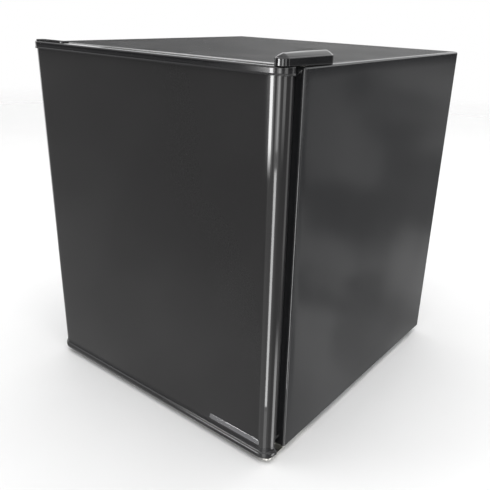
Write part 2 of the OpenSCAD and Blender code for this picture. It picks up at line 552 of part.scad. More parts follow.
screw_spots = [for (s = [-1, 1], z = [cbz + 1.5 * cond_pitch, cbz + (cond_n - 2.5) * cond_pitch]) [s * (cq - 6 - 0.5 * wire_p), z]];
module condenser_brackets() color(black) for (p = screw_spots) difference() {
  union() {
    box([p[0] - 7, yb + 0.05, p[1] - 9], [p[0] + 7, yb + 3, p[1] + 9]);
    box([p[0] - 4.1, yb + 0.05, p[1] - cond_pitch / 2 + 2.45], [p[0] + 4.1, yr, p[1] + cond_pitch / 2 - 2.45]);
  }
  bar([p[0], yb - 1, p[1]], "y", 1.7, 30);
  bar([p[0], yb + 6, p[1]], "y", 3, 30);
}
module rear_screws() color(steel) for (p = screw_spots) translate([p[0], yb + 6, p[1]]) rotate([-90, 0, 0]) screw(1.5, 17, 2.7, 1.8);
// ---- Door ----
// Plan outline of the door rim, i inside the caps' outer face; the rear face stays at y
module door_outline(i, y) {
  r = corner_r - i;
  intersection() {
    union() {
      translate([-hw + i + r, yf + i]) square([cab_w - 2 * i - 2 * r, 60]);
      translate([-hw + i, yf + i + r]) square([cab_w - 2 * i, 60]);
      for (s = [-1, 1]) translate([s * (hw - i - r), yf + i + r]) circle(r);
    }
    translate([-hw - 5, yf - 5]) square([cab_w + 10, y - yf + 5]);
  }
}
pr = cap_proud + skin_t;
lf = dr - liner_t;                            // plane under the liner flange
module door_outer_panel() color(skin) translate([0, 0, pz0 - 7]) {
  h = pz1 - pz0 + 10.5;
  difference() {
    linear_extrude(h) door_outline(cap_proud, lf);
    translate([0, 0, -1]) linear_extrude(h + 2) door_outline(pr, lf + 30);
    box([-hw, lf, -2], [hw, 0, h + 4]);
  }
  // rear returns, notched round the hinge holes
  difference() {
    for (s = [-1, 1]) box([s > 0 ? hw - 16 : -hw + cap_proud + 0.4, lf - skin_t, 0], [s > 0 ? hw - cap_proud - 0.4 : -hw + 16, lf, h]);
    for (s = [-1, 1], z = [-1, h - 21]) translate([s * px, py, z]) cylinder(r = 5.4, h = 22);
  }
}
module door_top_cap() color(black) difference() {
  translate([0, 0, pz1]) linear_extrude(top_cap_h) door_outline(0, dr);
  translate([0, 0, pz1 - 1]) linear_extrude(cap_top - pz1 + 1) door_outline(cap_proud, lf);
  // finger channel between the two ridges
  prism_z([-hw + 149, yf + 4.6], [hw - 19, yf + 11.6], 3, dz1 - 4, dz1 + 1);
  for (s = [-1, 1]) translate([s * px, py, pz1 - 2]) cylinder(r = 5.05, h = top_cap_h + 4);
}
module door_bottom_cap() color(black) difference() {
  translate([0, 0, dz0]) linear_extrude(bottom_cap_h) door_outline(0, dr);
  translate([0, 0, dz0 + 7]) linear_extrude(bottom_cap_h) door_outline(cap_proud, lf);
  translate([px, py, dz0 - 1]) cylinder(r = 5.05, h = 12);
}
// Raised rim of the door liner, i inside its outer face
dkx = cx - 4;
dkz0 = cz0 + 5;
dkz1 = cz1 - 5;
dky = yc + 22;
rcx = dkx - 24;
rcy = dr + 8;
module dyke(i) difference() {
  along_y(lf - 1, dky - i) rrect([-dkx + i, dkz0 + i], [dkx - i, dkz1 - i], 14 - i);
  along_y(rcy - i, dky + 20) rrect([-rcx - i, dkz0 + 24 - i], [rcx + i, dkz1 - 24 + i], 8 + i);
}
module door_foam() color("#e8d9a8") difference() {
  union() {
    difference() {
      translate([0, 0, pz0 - 7]) linear_extrude(pz1 - pz0 + 10.4) door_outline(pr + 0.05, lf - skin_t - 0.05);
      for (s = [-1, 1]) translate([s * px, py, dz0]) cylinder(r = 5.3, h = 17);
      for (s = [-1, 1]) translate([s * px, py, dz1 - 22]) cylinder(r = 5.3, h = 30);
    }
    intersection() {
      dyke(liner_t + 0.05);
      box([-hw, lf - skin_t - 0.1, 0], [hw, 0, 600]);
    }
  }
}
module door_liner() color(white) {
  difference() {
    union() {
      along_y(lf, dr) rrect([-hw + 6, pz0 + 1], [hw - 6, pz1 - 1], 4);
      intersection() { dyke(0); box([-hw, lf, 0], [hw, 0, 600]); }
    }
    dyke(liner_t);
  }
  // guides that carry the two racks
  for (s = [-1, 1], z = [rack1_z, rack2_z]) box([s > 0 ? rcx - 2.5 : -rcx - 0.2, rcy + 0.5, z - 3], [s > 0 ? rcx + 0.2 : -rcx + 2.5, dky - 4, z - 0.05]);
}
rack1_z = dkz0 + 30;
rack2_z = dkz0 + 206;
// Open-topped rack clipped between the rims of the door liner
module rack(z, h, depth) difference() {
  union() {
    prism_z([-rcx + 0.3, rcy + 0.3], [rcx - 0.3, rcy + depth], 6, z, z + h);
  }
  prism_z([-rcx + 2.5, rcy + 2.5], [rcx - 2.5, rcy + depth - 2.2], 5, z + 2.2, z + h + 1);
  // long window under the retaining bar
  along_y(rcy + depth - 6, rcy + depth + 6) rrect([-rcx + 26, z + h * 0.42], [rcx - 26, z + h - 13], 4);
}
module bottle_rack() color("#e4eef2") rack(rack1_z, 66, 82);
module upper_rack() color("#e4eef2") rack(rack2_z, 46, 68);
module ring_y(o, w, ya, yb2) difference() {
  along_y(ya, yb2) rrect([-gx + o, gz0 + o], [gx - o, gz1 - o], 7);
  along_y(ya - 1, yb2 + 1) rrect([-gx + o + w, gz0 + o + w], [gx - o - w, gz1 - o - w], 3);
}
module door_gasket() color("#1f1f21") difference() {
  union() {
    ring_y(1, 15, dr + 0.05, dr + 3);
    ring_y(4, 8, dr + 2.9, gy - 5.5);
    ring_y(0, 18, gy - 5.6, gy);
  }
  ring_y(3.4, 11.2, gy - 4.4, gy - 1.2);
}
module gasket_magnets() color(steel) {
  a = 4;
  w = 10;
  for (s = [-1, 1]) box([s > 0 ? gx - a - w : -gx + a, gy - 4.1, gz0 + a + w + 3], [s > 0 ? gx - a : -gx + a + w, gy - 1.5, gz1 - a - w - 3]);
  for (z = [gz0 + a, gz1 - a - w]) box([-gx + a + 6, gy - 4.1, z], [gx - a - 6, gy - 1.5, z + w]);
}
module door_bushes() color(white) {
  for (q = [[dz1 - 12.1, 12], [dz0 + 0.1, 11]]) translate([px, py, q[0]]) difference() {
    cylinder(r = 5, h = q[1]);
    translate([0, 0, -1]) cylinder(r = pin_r + run_gap, h = 20);
  }
}
// Plain plate near the lower hinge corner
module door_badge() color(steel) along_y(yf + cap_proud - 0.7, yf + cap_proud - 0.02) rrect([hw - 103, pz0 + 4], [hw - 17, pz0 + 12], 2);
// Blanking piece over the unused left-hand hinge hole
module hinge_hole_plug() color(black) {
  difference() {
    prism_z([-px - 3, yf + 4.9], [-px + 59, yf + 18.6], 4, dz1 + 0.05, dz1 + 2);
    prism_z([-px + 14, yf + 8], [-px + 48, yf + 15.4], 3, dz1 + 1.1, dz1 + 4);
  }
  translate([-px, py, dz1 - 9]) cylinder(r = 5, h = 9.5);
}

cabinet_shell();
base_pan();
back_panel();
niche_panel();
insulation_foam();
inner_liner();
compressor_plate();
front_foot_left();
front_foot_right();
foot_nuts();
rear_feet();
top_hinge_bracket();
hinge_pins();
hinge_screws();
hinge_cover();
lower_hinge_bracket();
hinge_washer();
evaporator();
ice_box_frame();
ice_box_flap();
flap_pins();
evaporator_hangers();
tray_rails();
drip_tray();
wire_shelf();
thermostat_housing();
thermostat_body();
thermostat_shaft();
thermostat_knob();
thermostat_sensor();
compressor_lower_shell();
compressor_upper_shell();
compressor_stator();
compressor_rotor();
compressor_pump_block();
compressor_grommets();
compressor_bolts();
relay_cover();
cord_gland();
discharge_tube();
suction_tube();
capillary_tube();
liquid_line();
filter_drier();
condenser_tube();
condenser_wires();
condenser_brackets();
rear_screws();
door_outer_panel();
door_top_cap();
door_bottom_cap();
door_foam();
door_liner();
door_gasket();
gasket_magnets();
bottle_rack();
upper_rack();
door_bushes();
hinge_hole_plug();
door_badge();
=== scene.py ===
import json
import math

import bmesh
import bpy
import numpy as np
from mathutils import Matrix, Vector


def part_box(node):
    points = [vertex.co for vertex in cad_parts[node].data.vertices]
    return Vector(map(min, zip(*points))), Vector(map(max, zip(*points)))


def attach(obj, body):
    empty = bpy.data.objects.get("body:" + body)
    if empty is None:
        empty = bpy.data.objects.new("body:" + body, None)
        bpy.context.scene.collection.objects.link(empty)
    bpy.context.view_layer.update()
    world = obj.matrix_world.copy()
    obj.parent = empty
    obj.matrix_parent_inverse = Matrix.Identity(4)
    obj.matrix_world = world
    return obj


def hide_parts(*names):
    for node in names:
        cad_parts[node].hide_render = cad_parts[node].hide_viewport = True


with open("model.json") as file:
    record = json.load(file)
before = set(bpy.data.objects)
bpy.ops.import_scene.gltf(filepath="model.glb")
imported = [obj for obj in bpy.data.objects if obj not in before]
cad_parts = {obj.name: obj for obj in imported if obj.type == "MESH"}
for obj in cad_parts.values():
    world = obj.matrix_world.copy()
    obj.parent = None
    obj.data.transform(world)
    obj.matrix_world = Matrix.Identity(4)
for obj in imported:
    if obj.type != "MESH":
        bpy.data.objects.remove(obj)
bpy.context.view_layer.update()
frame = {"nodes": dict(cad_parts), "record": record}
nodes = frame["nodes"]
record = frame["record"]
slot_of = {s["node"]: s["material_slot"] for s in record["subparts"]}
scene = bpy.context.scene
MM = 0.001


def lo(n):
    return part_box(n)[0] * 1000


def hi(n):
    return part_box(n)[1] * 1000


# ---------------------------------------------------------------- camera
def look(az, el, roll):
    a, e = math.radians(az), math.radians(el)
    back = Vector((math.sin(a) * math.cos(e), -math.cos(a) * math.cos(e), math.sin(e)))
    right = Vector((0, 0, 1)).cross(back).normalized()
    up = back.cross(right)
    c, s = math.cos(math.radians(roll)), math.sin(math.radians(roll))
    r2 = right * c + up * s
    u2 = -right * s + up * c
    return Matrix((r2, u2, back)).transposed()


cam_data = bpy.data.cameras.new("camera")
cam = bpy.data.objects.new("camera", cam_data)
scene.collection.objects.link(cam)
cam.matrix_world = Matrix.Translation((0.57067, -0.72704, 0.56056)) @ look(37.07, 21.89, 1.97).to_4x4()
cam_data.sensor_width = 36.0
cam_data.lens = 584.2 / 490 * 36
cam_data.shift_x = -0.0360
cam_data.shift_y = -0.0076
cam_data.clip_start = 0.01
scene.camera = cam


# ---------------------------------------------------------------- materials
class Mat:
    """A small helper around one principled material and its node tree."""

    def __init__(self, name):
        self.m = bpy.data.materials.new(name)
        self.m.use_nodes = True
        self.t = self.m.node_tree
        self.p = self.t.nodes["Principled BSDF"]
        self.co = self.t.nodes.new("ShaderNodeTexCoord")

    def node(self, kind, **props):
        n = self.t.nodes.new(kind)
        for k, v in props.items():
            setattr(n, k, v)
        return n

    def link(self, a, b):
        self.t.links.new(a, b)

    def mapped(self, scale, rot=(0, 0, 0)):
        n = self.node("ShaderNodeMapping")
        n.inputs["Scale"].default_value = scale
        n.inputs["Rotation"].default_value = rot
        self.link(self.co.outputs["Object"], n.inputs["Vector"])
        return n.outputs["Vector"]

    def noise(self, scale, detail=3.0, rough=0.5, vec=None, dist=0.0):
        n = self.node("ShaderNodeTexNoise")
        n.inputs["Scale"].default_value = scale
        n.inputs["Detail"].default_value = detail
        n.inputs["Roughness"].default_value = rough
        n.inputs["Distortion"].default_value = dist
        self.link(vec if vec is not None else self.co.outputs["Object"], n.inputs["Vector"])
        return n.outputs["Fac"]

    def ramp(self, fac, stops):
        n = self.node("ShaderNodeValToRGB")
        els = n.color_ramp.elements
        while len(els) < len(stops):
            els.new(0.5)
        for e, (pos, col) in zip(els, stops):
            e.position = pos
            e.color = (*col, 1) if len(col) == 3 else col
        self.link(fac, n.inputs["Fac"])
        return n.outputs["Color"]

    def map_range(self, val, a, b, c, d):
        n = self.node("ShaderNodeMapRange")
        n.clamp = True
        for k, v in zip(("From Min", "From Max", "To Min", "To Max"), (a, b, c, d)):
            n.inputs[k].default_value = v
        self.link(val, n.inputs["Value"])
        return n.outputs["Result"]

    def math(self, op, a, b):
        n = self.node("ShaderNodeMath", operation=op)
        for i, v in enumerate((a, b)):
            if isinstance(v, (int, float)):
                n.inputs[i].default_value = v
            else:
                self.link(v, n.inputs[i])
        return n.outputs[0]

    def mix(self, fac, a, b, blend="MIX"):
        n = self.node("ShaderNodeMix", data_type="RGBA", blend_type=blend)
        for sock, v in ((n.inputs[0], fac), (n.inputs[6], a), (n.inputs[7], b)):
            if isinstance(v, (int, float)):
                sock.default_value = v
            elif isinstance(v, tuple):
                sock.default_value = (*v, 1)
            else:
                self.link(v, sock)
        return n.outputs[2]

    def attr(self, name):
        n = self.node("ShaderNodeAttribute")
        n.attribute_name = name
        return n.outputs["Fac"]

    def bump(self, height, strength, distance, chain=None):
        n = self.node("ShaderNodeBump")
        n.inputs["Strength"].default_value = strength
        n.inputs["Distance"].default_value = distance
        self.link(height, n.inputs["Height"])
        if chain is not None:
            self.link(chain, n.inputs["Normal"])
        return n.outputs["Normal"]

    def set(self, **kw):
        names = {"base": "Base Color", "rough": "Roughness", "metal": "Metallic", "normal": "Normal", "ior": "IOR",
                 "spec": "Specular IOR Level", "trans": "Transmission Weight", "coat": "Coat Weight",
                 "coat_rough": "Coat Roughness", "sss": "Subsurface Weight", "sheen": "Sheen Weight"}
        for k, v in kw.items():
            s = self.p.inputs[names[k]]
            if isinstance(v, (int, float)):
                s.default_value = v
            elif isinstance(v, tuple):
                s.default_value = (*v, 1)
            else:
                self.link(v, s)
        return self.m


def shade(c, k):
    return tuple(min(1.0, x * k) for x in c)


def painted(name, base, rough, spec=0.5, peel=0.05, wear=(0.085, 0.085, 0.09)):
    """Factory-painted sheet steel: faint orange peel and cloudiness, wiped smears, hairline scuffs, rubbed folds."""
    m = Mat(name)
    cloud = m.noise(5.5, 4, 0.55)
    smear = m.noise(9, 5, 0.62, m.mapped((1, 1, 0.35), (0.3, 0.2, 0.5)), 0.8)
    hair = m.noise(150, 2, 0.5, m.mapped((1, 1, 0.03), (0.05, 0.08, 0.0)))
    hair2 = m.noise(120, 2, 0.5, m.mapped((0.05, 0.05, 1), (0.12, 0.1, 0.2)))
    scr = m.math("MAXIMUM", m.map_range(hair, 0.75, 0.82, 0, 1), m.map_range(hair2, 0.77, 0.84, 0, 0.7))
    fleck = m.noise(900, 2, 0.7)
    col = m.ramp(cloud, [(0.3, shade(base, 0.95)), (0.7, shade(base, 1.06))])
    col = m.mix(m.map_range(fleck, 0.5, 0.75, 0, 0.12), col, shade(base, 1.5))
    col = m.mix(m.math("MULTIPLY", scr, 0.06), col, wear)
    worn = m.math("MULTIPLY", m.attr("wear"), m.map_range(m.noise(420, 5, 0.65), 0.5, 0.66, 0, 1))
    col = m.mix(m.math("MULTIPLY", worn, 0.16), col, wear)
    r = m.map_range(smear, 0.35, 0.72, rough * 0.88, rough * 1.25)
    r = m.math("ADD", r, m.math("MULTIPLY", scr, 0.05))
    r = m.math("ADD", r, m.math("MULTIPLY", worn, 0.05))
    n1 = m.bump(m.noise(420, 2, 0.5), peel, 0.00004)
    n2 = m.bump(m.noise(60, 2, 0.4), 0.06, 0.0001, n1)
    return m.set(base=col, rough=r, spec=spec, normal=n2)


def moulded(name, base, rough, grain=0.15, spec=0.5, wear=None, sss=0.0):
    """Injection moulded plastic: fine grain, flow clouding, rubbed edges and hairline scuffs."""
    m = Mat(name)
    cloud = m.noise(14, 4, 0.55, None, 0.6)
    hair = m.noise(260, 2, 0.5, m.mapped((1, 0.04, 1), (0.1, 0.25, 0.12)))
    scr = m.map_range(hair, 0.72, 0.80, 0, 1)
    lum = sum(base) / 3
    wear = wear or shade(base, 1.9 if lum < 0.2 else 0.82)
    col = m.ramp(cloud, [(0.3, shade(base, 0.97)), (0.7, shade(base, 1.03))])
    worn = m.math("MULTIPLY", m.attr("wear"), m.map_range(m.noise(220, 4, 0.6), 0.45, 0.62, 0, 1))
    col = m.mix(m.math("MULTIPLY", m.math("MAXIMUM", scr, worn), 0.07), col, wear)
    r = m.map_range(m.noise(22, 5, 0.6), 0.35, 0.7, rough * 0.9, rough * 1.2)
    r = m.math("ADD", r, m.math("MULTIPLY", scr, 0.03))
    n1 = m.bump(m.noise(1400, 2, 0.5), grain, 0.00003)
    n2 = m.bump(m.noise(45, 2, 0.4), 0.1, 0.00006, n1)
    return m.set(base=col, rough=r, spec=spec, normal=n2, sss=sss)


def metal(name, base, rough, brushed=(1, 1, 0.04), oxide=(0.25, 0.22, 0.2), ox=0.3, bump=0.2):
    """Bare or plated metal: drawn or brushed grain, patchy dulling, small stains."""
    m = Mat(name)
    grain = m.noise(500, 3, 0.6, m.mapped(brushed))
    patch = m.noise(26, 5, 0.6, None, 0.5)
    stain = m.map_range(m.noise(55, 5, 0.65, None, 0.9), 0.55, 0.72, 0, ox)
    col = m.ramp(grain, [(0.25, shade(base, 0.86)), (0.75, shade(base, 1.1))])
    col = m.mix(stain, col, oxide)
    r = m.map_range(patch, 0.3, 0.7, rough * 0.75, rough * 1.4)
    r = m.math("ADD", r, m.math("MULTIPLY", stain, 0.35))
    return m.set(base=col, rough=r, metal=m.map_range(stain, 0, 1, 1.0, 0.55), normal=m.bump(grain, bump, 0.00004))


def galvanised(name, base):
    """Zinc-coated sheet with crystal spangle."""
    m = Mat(name)
    v = m.node("ShaderNodeTexVoronoi")
    v.inputs["Scale"].default_value = 85
    m.link(m.mapped((1, 1, 1), (0.2, 0.1, 0.4)), v.inputs["Vector"])
    cell = m.node("ShaderNodeSeparateColor")
    m.link(v.outputs["Color"], cell.inputs["Color"])
    spangle = m.math("ADD", m.math("MULTIPLY", cell.outputs[0], 0.75), m.math("MULTIPLY", m.noise(300, 4, 0.6), 0.25))
    col = m.ramp(spangle, [(0.1, shade(base, 0.78)), (0.55, base), (0.95, shade(base, 1.28))])
    dull = m.map_range(m.noise(9, 5, 0.6, None, 0.7), 0.42, 0.7, 0, 0.55)
    col = m.mix(dull, col, (0.33, 0.33, 0.325))
    r = m.math("ADD", m.map_range(cell.outputs[1], 0, 1, 0.28, 0.5), m.math("MULTIPLY", dull, 0.25))
    return m.set(base=col, rough=r, metal=m.map_range(dull, 0, 1, 1.0, 0.7), normal=m.bump(spangle, 0.25, 0.00005))


def frosted(name, base):
    """Frosted clear polystyrene, as in trays and racks."""
    m = Mat(name)
    cloud = m.noise(18, 4, 0.5, None, 0.5)
    scr = m.map_range(m.noise(200, 2, 0.5, m.mapped((1, 0.05, 1), (0.2, 0.1, 0.3))), 0.70, 0.80, 0, 1)
    col = m.ramp(cloud, [(0.3, shade(base, 0.98)), (0.7, shade(base, 1.02))])
    r = m.math("ADD", m.map_range(m.noise(30, 4, 0.6), 0.3, 0.7, 0.30, 0.36), m.math("MULTIPLY", scr, 0.03))
    return m.set(base=col, rough=r, trans=0.25, ior=1.49, normal=m.bump(m.noise(700, 2, 0.5), 0.05, 0.00004))


def rubbery(name, base, rough, ribs=0.0):
    """Soft vinyl or rubber: powdery bloom and fine matt grain."""
    m = Mat(name)
    bloom = m.map_range(m.noise(38, 5, 0.65, None, 0.4), 0.45, 0.75, 0, 0.35)
    col = m.mix(bloom, shade(base, 0.95), shade(base, 2.2))
    r = m.map_range(m.noise(80, 4, 0.6), 0.3, 0.7, rough * 0.85, min(1, rough * 1.2))
    return m.set(base=col, rough=r, spec=0.35, normal=m.bump(m.noise(1600, 2, 0.6), 0.3, 0.00004))


def foamed(name, base):
    """Cut polyurethane foam: open cells and skin."""
    m = Mat(name)
    v = m.node("ShaderNodeTexVoronoi")
    v.inputs["Scale"].default_value = 900
    m.link(m.co.outputs["Object"], v.inputs["Vector"])
    col = m.ramp(m.noise(30, 4, 0.6), [(0.3, shade(base, 0.8)), (0.7, shade(base, 1.15))])
    return m.set(base=col, rough=m.map_range(m.noise(60, 3), 0.3, 0.7, 0.8, 0.95), normal=m.bump(v.outputs["Distance"], 0.6, 0.0003))


def col_of(slot):
    return tuple(next(x for x in record["materials"] if x["slot"] == slot)["base_color"][:3])


M = {
    "cabinet_paint": painted("cabinet_paint", (0.019, 0.0195, 0.021), 0.10, 0.5, 0.07),
    "door_paint": painted("door_paint", (0.018, 0.0175, 0.018), 0.05, 0.5, 0.03),
    "cap_plastic": moulded("cap_plastic", (0.010, 0.010, 0.011), 0.10, 0.03),
    "white_plastic": moulded("white_plastic", (0.78, 0.79, 0.78), 0.24, 0.12, sss=0.0),
    "tray_plastic": frosted("tray_plastic", (0.72, 0.77, 0.79)),
    "foam": foamed("foam", col_of("foam")),
    "galvanised": galvanised("galvanised", (0.56, 0.57, 0.58)),
    "plated_steel": metal("plated_steel", (0.60, 0.59, 0.56), 0.30, (1, 1, 1), (0.30, 0.24, 0.16), 0.25),
    "aluminium_sheet": metal("aluminium_sheet", (0.78, 0.79, 0.80), 0.36, (0.03, 1, 1), (0.55, 0.56, 0.57), 0.4),
    "shelf_wire": moulded("shelf_wire", (0.78, 0.78, 0.76), 0.28, 0.05),
    "black_enamel": painted("black_enamel", (0.016, 0.016, 0.017), 0.34, 0.45, 0.4, (0.14, 0.12, 0.11)),
    "copper_pipe": metal("copper_pipe", (0.78, 0.42, 0.27), 0.26, (1, 1, 1), (0.22, 0.12, 0.08), 0.65),
    "rubber_black": rubbery("rubber_black", (0.020, 0.020, 0.020), 0.72),
    "seal_vinyl": rubbery("seal_vinyl", (0.016, 0.016, 0.017), 0.52),
    "magnet_strip": rubbery("magnet_strip", (0.05, 0.035, 0.03), 0.8),
    "motor_iron": metal("motor_iron", (0.28, 0.27, 0.26), 0.45, (1, 1, 0.3), (0.15, 0.1, 0.07), 0.5),
    "control_plastic": moulded("control_plastic", (0.022, 0.022, 0.024), 0.42, 0.35),
    "badge_metal": metal("badge_metal", (0.34, 0.34, 0.35), 0.13, (0.03, 1, 1), (0.2, 0.2, 0.2), 0.03),
}
assert {x["slot"] for x in record["materials"]} <= set(M)


def give(ob, slot):
    ob.data.materials.clear()
    ob.data.materials.append(M[slot])


# ---------------------------------------------------------------- mesh helpers (millimetres in, metres out)
def make(name, verts, faces, slot, body=None, old=(), smooth=38, wear=None, key=None):
    me = bpy.data.meshes.new(name)
    me.from_pydata([Vector(v) * MM for v in verts], [], faces)
    me.validate()
    if wear is not None:
        a = me.attributes.new("wear", "FLOAT", "POINT")
        a.data.foreach_set("value", np.asarray(wear, np.float32))
    me.shade_smooth()
    if smooth < 180:
        me.set_sharp_from_angle(angle=math.radians(smooth))
    ob = bpy.data.objects.new(name, me)
    scene.collection.objects.link(ob)
    me.materials.append(M[key or slot])
    if body:
        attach(ob, body)
    for n in old:
        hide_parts(n)
    return ob


def bevelled(ob, width, segments=3, angle=32):
    m = ob.modifiers.new("bevel", "BEVEL")
    m.width = width * MM
    m.segments = segments
    m.limit_method = "ANGLE"
    m.angle_limit = math.radians(angle)
    m.harden_normals = True
    return m


def cut_by(ob, cutters):
    for c in cutters:
        m = ob.modifiers.new("cut", "BOOLEAN")
        m.operation = "DIFFERENCE"
        m.solver = "EXACT"
        m.object = c


def bake(ob, extra=()):
    """Applies the modifiers of ob to its mesh and drops the helper objects."""
    dg = bpy.context.evaluated_depsgraph_get()
    me = bpy.data.meshes.new_from_object(ob.evaluated_get(dg))
    ob.modifiers.clear()
    ob.data = me
    for e in extra:
        bpy.data.objects.remove(e)
    return ob


def arc(cx, cy, r, a0, a1, n):
    return [(cx + r * math.cos(math.radians(a0 + (a1 - a0) * i / n)), cy + r * math.sin(math.radians(a0 + (a1 - a0) * i / n))) for i in range(n + 1)]


def rrect(x0, y0, x1, y1, r, n=6):
    """Rounded rectangle, anticlockwise from the lower right corner."""
    r = max(r, 1e-3)
    return (arc(x1 - r, y0 + r, r, -90, 0, n) + arc(x1 - r, y1 - r, r, 0, 90, n)
            + arc(x0 + r, y1 - r, r, 90, 180, n) + arc(x0 + r, y0 + r, r, 180, 270, n))


def prism(name, outline, z0, z1, slot, plane="xy", **kw):
    """Closed prism of an outline: plane xy extrudes along Z, xz along Y (z0, z1 are then Y values), yz along X."""
    n = len(outline)

    def at(p, h):
        return {"xy": (p[0], p[1], h), "xz": (p[0], h, p[1]), "yz": (h, p[0], p[1])}[plane]

    v = [at(p, z0) for p in outline] + [at(p, z1) for p in outline]
    f = [list(range(n))[::-1], list(range(n, 2 * n))] + [[i, (i + 1) % n, n + (i + 1) % n, n + i] for i in range(n)]
    if plane == "xz":
        f = [x[::-1] for x in f]
    return make(name, v, f, slot, **kw)


def grid_faces(rows, cols, close_r=False, close_c=False):
    out = []
    for i in range(rows if close_r else rows - 1):
        for j in range(cols if close_c else cols - 1):
            a, b = i * cols + j, i * cols + (j + 1) % cols
            c, d = ((i + 1) % rows) * cols + (j + 1) % cols, ((i + 1) % rows) * cols + j
            out.append([a, b, c, d])
    return out


def wobble(x, y, seed):
    """Slow, very shallow unevenness of a foamed sheet-metal face, between -1 and 1."""
    return (math.sin(x * 0.0121 + seed) * math.cos(y * 0.0163 + seed * 1.7) * 0.6
            + math.sin(x * 0.031 + y * 0.017 + seed * 2.3) * 0.25 + math.cos(y * 0.043 - x * 0.023 + seed) * 0.15)


def fade(t, a, b, w):
    return max(0.0, min(1.0, (t - a) / w)) * max(0.0, min(1.0, (b - t) / w))


def fix_normals(ob):
    bm = bmesh.new()
    bm.from_mesh(ob.data)
    bmesh.ops.remove_doubles(bm, verts=bm.verts, dist=1e-6)
    bmesh.ops.recalc_face_normals(bm, faces=bm.faces)
    bm.to_mesh(ob.data)
    bm.free()
    ob.data.shade_smooth()
    ob.data.set_sharp_from_angle(angle=math.radians(38))
    return ob


# ---------------------------------------------------------------- key places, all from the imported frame
sh0, sh1 = lo("cabinet_shell"), hi("cabinet_shell")
HW, YC, YB, Z0, Z1 = sh1.x, sh0.y, sh1.y, sh0.z, sh1.z
tc0, tc1 = lo("door_top_cap"), hi("door_top_cap")
bc0, bc1 = lo("door_bottom_cap"), hi("door_bottom_cap")
dp0, dp1 = lo("door_outer_panel"), hi("door_outer_panel")
YF, DR = tc0.y, tc1.y
hc0, hc1 = lo("hinge_cover"), hi("hinge_cover")
ga0, ga1 = lo("door_gasket"), hi("door_gasket")

# ---------------------------------------------------------------- cabinet skin: one sheet folded round three sides
BR, T = 3.0, 0.8


def shell():
    na = 7

    def path(d):
        """U-shaped outline, d inside the outer face: same vertex count for every d."""
        r = max(BR - d, 0.0)
        pts, wear, tag = [], [], []
        ns, nt = 34, 30
        for i in range(ns):
            z = Z0 + (Z1 - BR - Z0) * i / ns if d < BR else Z0 + (Z1 - d - Z0) * i / ns
            pts.append((-HW + d, z)), wear.append(0.25), tag.append(("l", z))
        for c, a0 in (((-HW + BR, Z1 - BR), 180), ((HW - BR, Z1 - BR), 90)):
            if a0 == 90:
                x0, x1 = (-HW + max(BR, d)), (HW - max(BR, d))
                for i in range(1, nt):
                    pts.append((x0 + (x1 - x0) * i / nt, Z1 - d)), wear.append(0.25), tag.append(("t", x0 + (x1 - x0) * i / nt))
            for i in range(na + 1):
                a = math.radians(a0 - 90 * i / na)
                if d <= BR:
                    p = (c[0] + r * math.cos(a), c[1] + r * math.sin(a))
                else:
                    # mitred corner of the front flange: the seam is a fine open V
                    s = -1 if a0 == 180 else 1
                    cx, cz = s * (HW - d), Z1 - d
                    g = (i / na - 0.5) * 0.7
                    p = (cx + g * 0.707 * (1 if s < 0 else 1), cz + g * 0.707 * (1 if s < 0 else -1))
                pts.append(p), wear.append(1.0), tag.append(("c", i / na))
        for i in range(ns - 1, -1, -1):
            z = Z0 + (Z1 - BR - Z0) * i / ns if d < BR else Z0 + (Z1 - d - Z0) * i / ns
            pts.append((HW - d, z)), wear.append(0.25), tag.append(("r", z))
        return pts, wear, tag

    prof = [(24.0, YC), (16.0, YC), (9.0, YC), (5.0, YC)]
    fr = 2.6
    prof += [(fr * (1 - math.sin(math.radians(a))), YC + fr * (1 - math.cos(math.radians(a)))) for a in range(0, 91, 15)]
    ny = 34
    prof += [(0.0, YC + fr + (YB - YC - fr) * i / ny) for i in range(1, ny + 1)]
    outer = len(prof)
    prof += [(T, YB), (T, YC + 30), (T, YC + T), (9.0, YC + T), (24.0, YC + T)]
    verts, wear = [], []
    for k, (d, y) in enumerate(prof):
        pts, w, tag = path(d)
        for p, ww, tg in zip(pts, w, tag):
            x, z = p
            yy = y
            if tg[0] == "c" and d > BR and k < outer:
                yy = y + 0.45 * (1 - abs(2 * tg[1] - 1))
            if 10 <= k < outer:
                if tg[0] in "lr":
                    h = 0.28 * wobble(z, y, 1.3 if tg[0] == "r" else 4.1) * fade(z, Z0, Z1 - BR, 60) * fade(y, YC + 3, YB, 60)
                    x += (h - 0.28 * fade(z, Z0, Z1 - BR, 60) * fade(y, YC + 3, YB, 60)) * (1 if tg[0] == "r" else -1)
                elif tg[0] == "t":
                    h = 0.28 * wobble(x, y, 2.2) * fade(x, -HW + 3, HW - 3, 60) * fade(y, YC + 3, YB, 60)
                    z += h - 0.28 * fade(x, -HW + 3, HW - 3, 60) * fade(y, YC + 3, YB, 60)
            verts.append((x, yy, z))
            wear.append(1.0 if 4 <= k <= 10 else ww if k < outer else 0.1)
    cols = len(path(0)[0])
    f = grid_faces(len(prof), cols, close_r=True)
    # close the two lower ends
    rows = len(prof)
    f.append([i * cols for i in range(rows)])
    f.append([i * cols + cols - 1 for i in range(rows)][::-1])
    ob = make("cabinet_skin", verts, f, "cabinet_paint", wear=wear)
    fix_normals(ob)
    return ob


skin = shell()
parts = [skin]
for s in (-1, 1):
    x0, x1 = sorted((s * (HW - 13), s * (HW - 0.6)))
    hem = prism("hem_%s" % ("left" if s < 0 else "right"), rrect(x0, YC + 3, x1, YB - 1, 1.5), Z0 + 0.02, Z0 + T, "cabinet_paint")
    bevelled(hem, 0.3, 2)
    parts.append(hem)
for ob in parts:
    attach(ob, "cabinet")
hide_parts("cabinet_shell")


